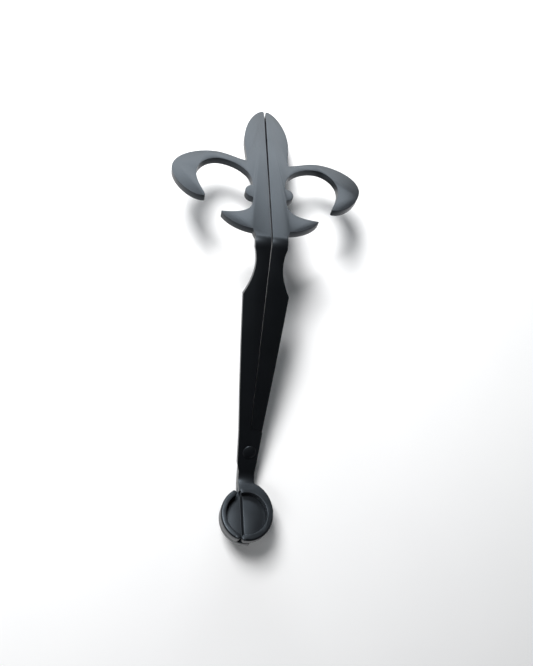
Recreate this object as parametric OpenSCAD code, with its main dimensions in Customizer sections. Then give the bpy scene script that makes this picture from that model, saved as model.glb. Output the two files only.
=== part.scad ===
// Scissor wick trimmer with a split fleur-de-lis handle and a round tray head.
// Two bent sheet-steel arms cross at one rivet. The tool lies face up on its handle
// tip and its lower bend: +Y runs from the head to the handle tip, +Z is up, and the
// origin is on the table, under the middle of the tool.

/* [Sheet] */
// Thickness of the steel sheet of both arms
sheet_t = 3; // [2.5:0.1:3.5]
// Width of the slit between the handle halves at the tip
slit_tip = 0.7; // [0.3:0.1:1.2]
// Width of the slit where the arms meet above the pivot
slit_pivot = 0.2; // [0.1:0.05:0.4]

/* [Handle] */
// Length of the handle, from the handle bend to its tip
handle_l = 77.6; // [70:0.2:85]
// Width across the two curled side petals
fleur_w = 80; // [72:1:88]
// Angle of the bend between the handle and the shank
handle_bend = 45; // [35:1:50]
// Inside radius of the handle bend
handle_bend_r = 3; // [2:0.5:4]
// Width of the two arms together across the handle bend
collar_w = 12.8; // [12:0.2:13.6]

/* [Shank] */
// Length of the shank between its two bends
shank_l = 100.6; // [98:0.2:110]
// Width of the shank at its narrow waist below the handle bend
waist_w = 10.8; // [10:0.2:12]
// Width of the shank at its shoulders
shoulder_w = 18.4; // [16:0.2:20]
// Width of the shank at the pivot
pivot_w = 9.6; // [9:0.2:11]

/* [Pivot] */
// Distance of the pivot from the handle bend
pivot_at = 88.7; // [86:0.1:89]
// Sideways distance of the pivot from the slit
pivot_x = 0.5; // [0:0.1:0.8]
// Diameter of the rivet's shank
rivet_d = 4; // [3.5:0.1:4.4]
// Diameter of the rivet's flat head
rivet_head_d = 5.6; // [5.2:0.1:7]
// Radial clearance of the rivet in the front arm, which turns on it
running_gap = 0.05; // [0.02:0.01:0.1]
// Thickness of the friction washer between the arms, with its play
washer_gap = 0.4; // [0.3:0.05:0.6]

/* [Head] */
// Outside diameter of the round head
head_d = 22.1; // [20:0.1:24]
// Sideways distance of the head's centre from the slit
head_x = 0.4; // [0:0.1:0.6]
// Distance of the head's centre from the lower bend
head_at = 15.1; // [14.5:0.1:17]
// Angle of the bend between the shank and the head
head_bend = 50; // [40:1:55]
// Inside radius of the lower bend of the front arm
head_bend_r = 5; // [4:0.5:6]
// Width of the rim around the tray
rim_w = 2.6; // [2:0.1:3]
// Width of each arm's neck above the head
neck_w = 6.8; // [6:0.1:7.4]
// Thickness of the blade under the front rim
blade_t = 1.5; // [1.2:0.1:2]
// Sideways distance of the front blade's cutting edge beyond the middle
blade_lap = 2.1; // [1.5:0.1:2.6]
// Sideways distance of the rear blade's edge beyond the middle
rear_lap = 1.6; // [1:0.1:2]

/* [Hidden] */
$fn = 96;
coat = "#23262a";
steel = "#8b8d90";
steps = 12;

head_r = head_d / 2;
rim_mid_r = head_r - rim_w / 2;
straight = 0.3;
rear_z = -sheet_t - washer_gap;
edge_r = 0.9;
crisp_r = 0.25;
shoulder_r = 10;
shoulder_gap = 0.2;
step_v = pivot_at - shoulder_r - shoulder_gap - sheet_t;
blade_play = 0.3;
rim_play = 0.25;
plate_swell = 0.25;
rivet_head_t = 0.5;
back_washer_t = 0.8;
rivet_tail_t = 0.9;

// length of flat sheet that the handle bend takes up on each side
handle_tan = (handle_bend_r + sheet_t) * tan(handle_bend / 2);
// distance down the shank at which the front arm's lower bend begins
front_flat = head_bend_r * tan(head_bend / 2);
toe_v = shank_l - front_flat;
// lower bend of the rear arm, which passes behind the front arm's bend and leaves
// room for the front blade above the tray's floor
rear_bend_r = head_bend_r + sheet_t + washer_gap;
rear_plate_z = -sheet_t - blade_t - blade_play;
heel_v = shank_l - (rear_plate_z + rear_bend_r - head_bend_r * cos(head_bend)) / sin(head_bend);
rear_flat = (heel_v - shank_l) * cos(head_bend) + head_bend_r * sin(head_bend);

// The tool rests on the back edge of the handle tip and on the rear arm's bend.
tip_y = handle_l * cos(handle_bend) - sheet_t * sin(handle_bend);
tip_z = -handle_l * sin(handle_bend) - sheet_t * cos(handle_bend);
heel_y = -heel_v;
heel_z = head_bend_r;
heel_r = rear_bend_r + sheet_t;
lie_angle = atan2(heel_z - tip_z, tip_y - heel_y)
    - asin(heel_r / norm([heel_z - tip_z, tip_y - heel_y]));
floor_z = tip_y * sin(lie_angle) + tip_z * cos(lie_angle);
far_end = handle_l * cos(handle_bend - lie_angle);
near_end = -shank_l * cos(lie_angle) + (rear_plate_z - sheet_t) * sin(head_bend - lie_angle)
    - (head_at + head_r) * cos(head_bend - lie_angle);

// Points of a Bezier curve, without its start point.
function curve(a, b, c, d) = [for (i = [1:steps]) let (t = i / steps)
    pow(1 - t, 3) * a + 3 * t * pow(1 - t, 2) * b + 3 * t * t * (1 - t) * c + pow(t, 3) * d];

// Right half of the fleur-de-lis: [distance from the slit, distance from the bend].
function fleur(x, y) = [x * fleur_w / 80, y * handle_l / 77.6];
function knob(a) = fleur(6.8 + 3.3 * cos(a), 25.8 + 3.3 * sin(a));
function slit_at(s) = slit_tip + (slit_pivot - slit_tip) * s / (handle_l + pivot_at);
slit_bend = slit_at(handle_l);
half_fleur = concat(
    // pointed middle petal
    [[slit_tip / 2, 0.99 * handle_l]],
    curve([slit_tip / 2, 0.99 * handle_l], fleur(0.5, 77.3), fleur(0.8, 77.6), fleur(1.3, 77.6)),
    curve(fleur(1.3, 77.6), fleur(5.4, 76), fleur(9.8, 66.5), fleur(9.8, 57)),
    curve(fleur(9.8, 57), fleur(9.8, 52.5), fleur(9, 49), fleur(9, 43.4)),
    // curled side petal, outside and inside
    curve(fleur(9, 43.4), fleur(12.5, 43.5), fleur(17, 46.6), fleur(22.3, 46.6)),
    curve(fleur(22.3, 46.6), fleur(30.5, 46.6), fleur(40, 41.5), fleur(40, 34)),
    curve(fleur(40, 34), fleur(40, 28.5), fleur(33.5, 20.2), fleur(27.6, 20)),
    curve(fleur(27.6, 20), fleur(26.6, 20), fleur(26, 20.2), fleur(26.4, 21.2)),
    curve(fleur(26.4, 21.2), fleur(27.8, 24.5), fleur(30.1, 28.5), fleur(30.1, 32.8)),
    curve(fleur(30.1, 32.8), fleur(30.1, 38), fleur(25.8, 42.6), fleur(20.8, 42.6)),
    curve(fleur(20.8, 42.6), fleur(16.8, 42.6), fleur(12.2, 40.6), fleur(9.5, 37.3)),
    curve(fleur(9.5, 37.3), fleur(8, 35.9), fleur(6.9, 33), fleur(6.9, 29.3)),
    // knob of the collar, then the collar's wing
    [for (a = [80:-20:-80]) knob(a)],
    [fleur(6.9, 22.3)],
    curve(fleur(6.9, 22.3), fleur(6.6, 15.6), fleur(10.5, 13.4), fleur(19.4, 12.95)),
    curve(fleur(19.4, 12.95), fleur(19.9, 12.9), fleur(19.9, 12.6), fleur(19.55, 12.2)),
    curve(fleur(19.55, 12.2), fleur(17.3, 8.8), fleur(12.5, 6), fleur(7.4, 5.5)),
    [fleur(7.1, 4.4), [collar_w / 2, handle_tan + straight], [collar_w / 2, handle_tan],
     [slit_bend / 2, handle_tan], [slit_bend / 2, handle_tan + straight]]);

// Right strip of the shank: [distance from the slit, distance below the handle bend].
half_shank = concat(
    [[collar_w / 2, handle_tan], [collar_w / 2, handle_tan + straight]],
    curve([collar_w / 2, handle_tan + straight], [5.8, 4.6], [waist_w / 2, 6.5], [waist_w / 2, 8.8]),
    curve([waist_w / 2, 8.8], [waist_w / 2, 13.5], [7.4, 18], [shoulder_w / 2, 21.2]),
    curve([shoulder_w / 2, 21.2], [shoulder_w / 2 - 1.15, 41], [pivot_w / 2 + 1.7, 61],
          [pivot_w / 2, pivot_at - 8.7]),
    [[pivot_w / 2 - 0.1, pivot_at - 6.7], [slit_pivot / 2, pivot_at - 6.7],
     [slit_bend / 2, handle_tan + straight], [slit_bend / 2, handle_tan]]);

// Plate around the pivot and the neck below it, as [sideways, distance below the bend].
// lean is 1 on the side to which the neck leans. inset pulls the rear plate's outer edge in
// behind the front arm, and swell sets the front plate's edge proud of the strip above it.
function half_neck(lean, end, inset, swell = 0) = [
    [pivot_w / 2 - inset + swell, pivot_at - 12], [pivot_w / 2 - inset + swell, pivot_at - 8.7],
    [pivot_w / 2 - 0.1 - inset + swell, pivot_at - 6.7],
    [neck_w / 2 + 0.65 + 0.05 * lean - inset, pivot_at + 6],
    [neck_w / 2 + 0.3 * lean - inset + 0.4 * sign(inset), end - straight],
    [neck_w / 2 + 0.3 * lean - inset + 0.4 * sign(inset), end]];

// Frames of the two bent ends: the upper face is at z = 0.
module handle_frame() rotate([-handle_bend, 0, 0]) children();
module head_frame() translate([0, -shank_l, 0]) rotate([-head_bend, 0, 0]) children();
// Rest pose on the table.
module lying() translate([0, -(far_end + near_end) / 2, -floor_z]) rotate([lie_angle, 0, 0]) children();

// Flat sheet whose upper face is at z.
module sheet(z, t = sheet_t) translate([0, 0, z - t]) linear_extrude(t) children();

// Side view of an arm as one bent strip, [along Y, height], with the two bends as arcs.
function arc(c, r, from, to) = [for (i = [0:steps]) let (a = from + (to - from) * i / steps)
    c + r * [cos(a), sin(a)]];
function on_handle(h, z) = [h * cos(handle_bend) + z * sin(handle_bend),
                            z * cos(handle_bend) - h * sin(handle_bend)];
function on_head(w, z) = [z * sin(head_bend) - shank_l - w * cos(head_bend),
                          z * cos(head_bend) + w * sin(head_bend)];
upper_c = [-handle_tan, -handle_bend_r - sheet_t];
function side_view(lower_c, r, z, front, back) = concat(
    [on_handle(handle_l + 5, 0)],
    arc(upper_c, handle_bend_r + sheet_t, 90 - handle_bend, 90), front,
    arc(lower_c, r, -90, -90 - head_bend),
    [on_head(2 * head_at, z), on_head(2 * head_at, z - sheet_t)],
    arc(lower_c, r + sheet_t, -90 - head_bend, -90),
    back, arc(upper_c, handle_bend_r, 90, 90 - handle_bend),
    [on_handle(handle_l + 5, -sheet_t)]);
module strip(outline) rotate([90, 0, 90]) translate([0, 0, -60]) linear_extrude(120) polygon(outline);

// Blocks that stand through the strip and keep what lies in them: one for each flat,
// cut to its outline, and one for each bend.
module block() translate([0, 0, -10]) linear_extrude(14) children();
module panel(x0, x1, y0, y1) polygon([[x0, y0], [x1, y0], [x1, y1], [x0, y1]]);
module upper_block() intersection() {
    block() panel(slit_bend / 2, collar_w / 2, -handle_tan - straight / 2, 7);
    handle_frame() block() panel(slit_bend / 2, collar_w / 2, -7, handle_tan + straight / 2);
}
module lower_block(x0, x1, v, w) intersection() {
    block() panel(x0, x1, -v - 20, straight / 2 - v);
    head_frame() block() panel(x0, x1, -w - straight / 2, 20);
}

module strip_plan() polygon([for (p = half_shank) [p[0], -p[1]]]);

// side is 1 on the arm whose neck leans right. The upper shoulder is an arc about the
// rivet, so that the arm turns past the step of the other one.
module pivot_plan(side, end, inset) intersection() {
    right = half_neck(side, end, 0, side > 0 ? plate_swell : 0);
    left = half_neck(-side, end, inset);
    polygon(concat([for (p = right) [p[0], -p[1]]],
                   [for (i = [len(left) - 1:-1:0]) [-left[i][0], -left[i][1]]]));
    union() {
        translate([pivot_x, -pivot_at]) circle(r = shoulder_r);
        translate([-shoulder_r, -end - 1]) square([2 * shoulder_r, end + 1 - pivot_at]);
    }
}

module rivet_hole(r) translate([pivot_x, -pivot_at, -20]) cylinder(h = 40, r = r);

// Neck that widens in a hollow curve from the lower bend, and runs out over the rounded
// outer edge of the rim on its right.
function on_rim(x, y) = [head_x + x * head_r, y * head_r - head_at];
module neck_plan(start) difference() {
    polygon(concat(
        [[0.3 - neck_w / 2, -start], [0.3 + neck_w / 2, -start]],
        [[0.3 + neck_w / 2, -start - straight]],
        curve([0.3 + neck_w / 2, -start - straight], on_rim(0.443, 1.077), on_rim(0.928, 0.808),
              on_rim(0.991, 0.087)),
        curve(on_rim(0.991, 0.087), on_rim(0.982, -0.054), on_rim(0.932, -0.199),
              on_rim(0.851, -0.31)),
        [[0, -0.31 * head_r - head_at], [0.6 - neck_w / 2, rim_mid_r - head_at],
         [0.3 - neck_w / 2, -start - straight]]));
    disc(rim_mid_r);
}

module disc(r) translate([head_x, -head_at]) circle(r = r);

// Quarter circle of radius r that rounds the upper corner at x, towards +X or -X.
function corner(x, r, way) = [for (a = [0:15:90]) [x - way * r, -r] + r * [way * cos(a), sin(a)]];

// Cross-section of a bar: upright inside with a crisp edge, well rounded outside.
module bar(w, depth) polygon(concat([[-w / 2, -depth], [w / 2, -depth]],
    corner(w / 2, edge_r, 1), [for (i = [6:-1:0]) corner(-w / 2, crisp_r, -1)[i]]));
module bar_end(w, depth) rotate_extrude()
    polygon(concat([[0, -depth], [w / 2, -depth]], corner(w / 2, 0.5, 1), [[0, 0]]));

// Whole angle at which the rear rim's lower end stays clear of the front rim's round end.
front_rim_end = 262;
rear_rim_end = floor(front_rim_end - 2 * asin((rim_w - 0.15 + rim_play) / 2 / rim_mid_r));

// Bar along the edge of the tray, with round free ends at the given angles.
module rim_bar(w, depth, from, to, ends) translate([head_x, -head_at, 0]) {
    rotate(from) rotate_extrude(angle = to - from) translate([head_r - w / 2, 0])
        bar(w, depth);
    for (a = ends) rotate(a) translate([head_r - w / 2, 0, 0]) bar_end(w - 0.04, depth);
}

// The front arm lies in front all the way: left handle half, then right half of the head.
module front_arm() color(coat) lying() difference() {
    union() {
        intersection() {
            strip(side_view([-toe_v, head_bend_r], head_bend_r, 0, [], []));
            union() {
                mirror([1, 0, 0]) handle_frame() block() polygon(half_fleur);
                mirror([1, 0, 0]) upper_block();
                block() {
                    mirror([1, 0, 0]) strip_plan();
                    pivot_plan(1, toe_v, 0);
                }
                lower_block(0.3 - neck_w / 2, 0.3 + neck_w / 2, toe_v, front_flat);
                head_frame() block() neck_plan(front_flat);
            }
        }
        head_frame() translate([0, 0, 0.01]) rim_bar(rim_w, sheet_t, front_rim_end - 360, 105,
                                                        [front_rim_end]);
    }
    rivet_hole(rivet_d / 2 + running_gap);
}

// Thin blade brazed under the front rim, ground to a bevel along its straight left edge.
module front_blade() color(steel) lying() head_frame() difference() {
    sheet(-sheet_t, blade_t) intersection() {
        disc(head_r - 0.15);
        translate([head_x - blade_lap, -head_at]) rotate(1)
            translate([0, -head_r]) square(2 * head_r);
    }
    translate([head_x - blade_lap, -head_at, -sheet_t - blade_t / 2]) rotate([0, 0, 1])
        rotate([0, -40, 0]) translate([-5, -head_d, 0]) cube([10, 2 * head_d, 5]);
}

// The rear arm steps down behind the front one above the pivot, where an arc about the
// rivet clears the front arm's shoulder. Below it spreads into the tray's floor on the left.
module rear_arm() color(coat) lying() difference() {
    intersection() {
        strip(side_view([-heel_v, head_bend_r], rear_bend_r, rear_plate_z,
                        [[-pivot_at, 0], [-pivot_at, rear_z]],
                        [[-step_v, rear_z - sheet_t], [-step_v, -sheet_t]]));
        union() {
            handle_frame() block() polygon(half_fleur);
            upper_block();
            block() {
                strip_plan();
                pivot_plan(-1, heel_v, 1.2);
            }
            lower_block(0.5 - neck_w / 2, neck_w / 2 - 0.3, heel_v, rear_flat);
            head_frame() block() {
                panel(0.5 - neck_w / 2, neck_w / 2 - 0.3, 2 - head_at, -rear_flat);
                intersection() {
                    disc(head_r - 0.05);
                    translate([-2 * head_r, -2 * head_at])
                        square([2 * head_r + rear_lap, 2 * head_at]);
                }
            }
        }
    }
    translate([pivot_x, -pivot_at, rear_z]) cylinder(h = 9, r = shoulder_r + shoulder_gap);
    rivet_hole(rivet_d / 2);
}

// Half-round bar brazed on the rear blade, level with the front rim.
module rear_rim() color(coat) lying() head_frame()
    rim_bar(rim_w - 0.3, -rear_plate_z, 122, rear_rim_end, [122, rear_rim_end]);

// Rivet with a flat head in front and a peened tail behind the washer.
module pivot_rivet() color(coat) lying() translate([pivot_x, -pivot_at, 0]) {
    translate([0, 0, rear_z - sheet_t - back_washer_t])
        cylinder(h = sheet_t * 2 + washer_gap + back_washer_t + running_gap, r = rivet_d / 2);
    translate([0, 0, running_gap]) cylinder(h = rivet_head_t * 0.6, r = rivet_head_d / 2);
    translate([0, 0, running_gap + rivet_head_t * 0.6])
        cylinder(h = rivet_head_t * 0.4, r1 = rivet_head_d / 2, r2 = rivet_head_d / 2 - 0.3);
    translate([0, 0, rear_z - sheet_t - back_washer_t - rivet_tail_t])
        cylinder(h = rivet_tail_t, r1 = rivet_d / 2, r2 = rivet_d / 2 + 0.9);
}

// Washer in the gap between the arms, with a little play.
module friction_washer() color(steel) lying() translate([pivot_x, -pivot_at, 0]) difference() {
    translate([0, 0, -sheet_t - washer_gap + running_gap])
        cylinder(h = washer_gap - 2 * running_gap, r = rivet_d);
    translate([0, 0, -10]) cylinder(h = 20, r = rivet_d / 2 + 0.1);
}

// Washer between the rear arm and the peened tail.
module back_washer() color(steel) lying() translate([pivot_x, -pivot_at, 0]) difference() {
    translate([0, 0, rear_z - sheet_t - back_washer_t]) cylinder(h = back_washer_t, r = rivet_d);
    translate([0, 0, -20]) cylinder(h = 40, r = rivet_d / 2);
}

rear_arm();
front_arm();
front_blade();
rear_rim();
pivot_rivet();
friction_washer();
back_washer();
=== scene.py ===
# A scissor wick trimmer in black powder-coated steel, lying face up on a pale table.
import bpy
import bmesh
import math
from mathutils import Matrix, Vector


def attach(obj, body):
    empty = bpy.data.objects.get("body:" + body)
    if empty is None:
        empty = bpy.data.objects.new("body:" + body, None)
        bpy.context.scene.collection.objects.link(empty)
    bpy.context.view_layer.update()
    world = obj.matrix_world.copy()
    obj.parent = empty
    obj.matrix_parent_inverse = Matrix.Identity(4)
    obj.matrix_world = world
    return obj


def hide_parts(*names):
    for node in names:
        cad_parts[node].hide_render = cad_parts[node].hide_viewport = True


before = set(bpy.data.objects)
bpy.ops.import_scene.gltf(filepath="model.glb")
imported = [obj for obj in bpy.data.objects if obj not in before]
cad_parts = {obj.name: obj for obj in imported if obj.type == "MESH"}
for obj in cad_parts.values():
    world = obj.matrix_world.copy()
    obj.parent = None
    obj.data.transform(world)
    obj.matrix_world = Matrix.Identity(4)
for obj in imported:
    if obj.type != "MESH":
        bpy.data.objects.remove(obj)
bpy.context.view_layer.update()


# ---------------------------------------------------------------- camera
# A hand-held view from above the shank, from a little to its left.
eye = Vector((-0.0382, -0.0238, 0.2275))
look = Vector((0.1948, 0.0759, -0.9779)).normalized()
up = Vector((-0.0687, 0.9956, 0.0636))
side = look.cross(up).normalized()
up = side.cross(look)
camera = bpy.data.objects.new("camera", bpy.data.cameras.new("camera"))
bpy.context.scene.collection.objects.link(camera)
camera.matrix_world = Matrix((
    (side.x, up.x, -look.x, eye.x),
    (side.y, up.y, -look.y, eye.y),
    (side.z, up.z, -look.z, eye.z),
    (0, 0, 0, 1)))
camera.data.sensor_width = 36
camera.data.lens = 27.70
camera.data.clip_start = 0.01
bpy.context.scene.camera = camera


# ---------------------------------------------------------------- table
# A smooth white table top that runs out of sight on every side.
def new_material(name):
    material = bpy.data.materials.new(name)
    material.use_nodes = True
    material.node_tree.nodes.clear()
    return material, material.node_tree


def add(tree, kind, **settings):
    node = tree.nodes.new(kind)
    for key, value in settings.items():
        setattr(node, key, value)
    return node


def noise(tree, coords, scale, detail, rough=0.5):
    node = add(tree, "ShaderNodeTexNoise")
    node.inputs["Scale"].default_value = scale
    node.inputs["Detail"].default_value = detail
    node.inputs["Roughness"].default_value = rough
    tree.links.new(coords, node.inputs["Vector"])
    return node.outputs["Fac"]


def ramp(tree, value, stops):
    node = add(tree, "ShaderNodeValToRGB")
    while len(node.color_ramp.elements) < len(stops):
        node.color_ramp.elements.new(0.5)
    for element, (at, colour) in zip(node.color_ramp.elements, stops):
        element.position = at
        element.color = (*colour, 1)
    tree.links.new(value, node.inputs["Fac"])
    return node.outputs["Color"]


def span(tree, value, low, high):
    node = add(tree, "ShaderNodeMapRange")
    node.inputs["To Min"].default_value = low
    node.inputs["To Max"].default_value = high
    tree.links.new(value, node.inputs["Value"])
    return node.outputs["Result"]


paper, tree = new_material("table_white")
coords = add(tree, "ShaderNodeTexCoord").outputs["Object"]
out = add(tree, "ShaderNodeOutputMaterial")
shader = add(tree, "ShaderNodeBsdfPrincipled")
off_white, white = (0.90, 0.90, 0.905), (0.93, 0.93, 0.93)
tone = ramp(tree, noise(tree, coords, 9, 4), [(0.3, off_white), (0.7, white)])
tree.links.new(tone, shader.inputs["Base Color"])
shader.inputs["Roughness"].default_value = 0.8
shader.inputs["Specular IOR Level"].default_value = 0.1
tree.links.new(shader.outputs["BSDF"], out.inputs["Surface"])

table_side = 6
bpy.ops.mesh.primitive_plane_add(size=table_side, location=(0, 0, 0))
table_top = bpy.context.object
table_top.name = "table_top"
table_top.data.materials.append(paper)


# ---------------------------------------------------------------- studio light
# A soft key high on the left, a weak fill beside it, and a broad low panel behind the
# handle. The handle and the tray mirror the panel, and the shank mirrors the dark room.
def soft_light(name, place, target, width, height, power, colour=(1, 1, 1)):
    lamp = bpy.data.lights.new(name, "AREA")
    lamp.shape = "RECTANGLE"
    lamp.size = width
    lamp.size_y = height
    lamp.energy = power
    lamp.color = colour
    holder = bpy.data.objects.new(name, lamp)
    bpy.context.scene.collection.objects.link(holder)
    holder.location = place
    aim = Vector(target) - Vector(place)
    holder.rotation_euler = aim.to_track_quat("-Z", "Y").to_euler()


soft_light("key", (-0.20, 0.31, 0.46), (0, 0, 0), 0.20, 0.20, 4.8)
soft_light("left_fill", (-0.50, -0.06, 0.80), (0, -0.05, 0), 0.35, 0.35, 1.3)
cool_white = (0.93, 0.97, 1.0)
soft_light("back_panel", (-0.06, 0.85, 0.21), (0, 0.02, 0.02), 0.9, 0.38, 7.0, cool_white)
world = bpy.data.worlds.new("room")
world.use_nodes = True
room_light = world.node_tree.nodes["Background"]
room_light.inputs["Color"].default_value = (0.9, 0.95, 1.0, 1)
room_light.inputs["Strength"].default_value = 0.04
bpy.context.scene.world = world
bpy.context.scene.view_settings.view_transform = "Standard"


# ---------------------------------------------------------------- rear arm
# Right half of the handle, shank strip, step behind the front arm, and the tray's
# floor: one blank cut from 3 mm steel sheet, bent cold, tumbled and powder coated.
def powder_coat(name, base, rough, tint=(1, 1, 1)):
    material, tree = new_material(name)
    coords = add(tree, "ShaderNodeTexCoord").outputs["Object"]
    out = add(tree, "ShaderNodeOutputMaterial")
    shader = add(tree, "ShaderNodeBsdfPrincipled")
    clouds = noise(tree, coords, 60, 5)
    grain = noise(tree, coords, 2600, 3, 0.6)
    dark = tuple(c * 0.85 for c in base)
    light = tuple(c * 1.2 for c in base)
    tree.links.new(ramp(tree, clouds, [(0.35, dark), (0.65, light)]), shader.inputs["Base Color"])
    mix = add(tree, "ShaderNodeMath", operation="ADD")
    tree.links.new(span(tree, clouds, rough - 0.05, rough + 0.05), mix.inputs[0])
    tree.links.new(span(tree, grain, -0.05, 0.05), mix.inputs[1])
    tree.links.new(mix.outputs[0], shader.inputs["Roughness"])
    shader.inputs["Specular IOR Level"].default_value = 0.45
    shader.inputs["Specular Tint"].default_value = (*tint, 1)
    peel = noise(tree, coords, 700, 2)
    height = add(tree, "ShaderNodeMath", operation="MULTIPLY_ADD")
    height.inputs[1].default_value = 0.35
    tree.links.new(peel, height.inputs[0])
    tree.links.new(grain, height.inputs[2])
    bump = add(tree, "ShaderNodeBump")
    bump.inputs["Strength"].default_value = 0.25
    bump.inputs["Distance"].default_value = 0.00004
    tree.links.new(height.outputs[0], bump.inputs["Height"])
    tree.links.new(bump.outputs["Normal"], shader.inputs["Normal"])
    tree.links.new(shader.outputs["BSDF"], out.inputs["Surface"])
    return material


weld_gap = 2e-6
flat_angle = math.radians(0.4)
edge_angle = math.radians(40)
crease_angle = math.radians(32)


def softened(node, material, width, segments=3):
    """A welded copy of a cut sheet part, with its sharp edges rounded over."""
    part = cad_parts[node].copy()
    part.data = part.data.copy()
    part.name = node + "_coated"
    part.parent = None
    bpy.context.scene.collection.objects.link(part)
    for key in list(part.keys()):
        del part[key]
    mesh = bmesh.new()
    mesh.from_mesh(part.data)
    bmesh.ops.remove_doubles(mesh, verts=mesh.verts, dist=weld_gap)
    bmesh.ops.dissolve_limit(mesh, angle_limit=flat_angle, verts=mesh.verts,
                             edges=mesh.edges, delimit={"NORMAL"})
    bmesh.ops.recalc_face_normals(mesh, faces=mesh.faces)
    mesh.to_mesh(part.data)
    mesh.free()
    part.data.materials.clear()
    part.data.materials.append(material)
    rounding = part.modifiers.new("rounding", "BEVEL")
    rounding.width = width
    rounding.segments = segments
    rounding.limit_method = "ANGLE"
    rounding.angle_limit = edge_angle
    depsgraph = bpy.context.evaluated_depsgraph_get()
    made = bpy.data.meshes.new_from_object(part.evaluated_get(depsgraph))
    part.modifiers.clear()
    part.data = made
    for face in made.polygons:
        face.use_smooth = True
    made.set_sharp_from_angle(angle=crease_angle)
    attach(part, "front" if node.startswith("front") else "rear")
    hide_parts(node)
    return part


coat_black, coat_tint = (0.0032, 0.0035, 0.0042), (0.76, 0.88, 1.0)
black_coat = powder_coat("black_powder_coat", coat_black, 0.36, coat_tint)
rear_arm = softened("rear_arm", black_coat, 0.00022)


# ---------------------------------------------------------------- front arm
# Mirror image of the rear arm as far as the pivot, but flat all the way down: it
# crosses in front and ends in the hooked right half of the tray's rim.
front_arm = softened("front_arm", black_coat, 0.00022)


# ---------------------------------------------------------------- front blade
# Thin plate brazed under the front rim, ground to a bevel along its cutting edge
# before it was coated.
front_blade = softened("front_blade", black_coat, 0.00008, 2)


# ---------------------------------------------------------------- rear rim
# Bar with a rounded top, bent to the tray's edge, brazed on the rear blade.
rear_rim = softened("rear_rim", black_coat, 0.00015)


# ---------------------------------------------------------------- rivet and washers
# Flat-headed steel rivet, peened over a washer behind the rear arm, with a thin
# bare washer that keeps the two coated arms apart.
pivot_rivet = softened("pivot_rivet", black_coat, 0.00012)
bare_steel = powder_coat("bare_steel", (0.30, 0.31, 0.32), 0.38)
friction_washer = softened("friction_washer", bare_steel, 0.00005, 2)
back_washer = softened("back_washer", black_coat, 0.0001, 2)
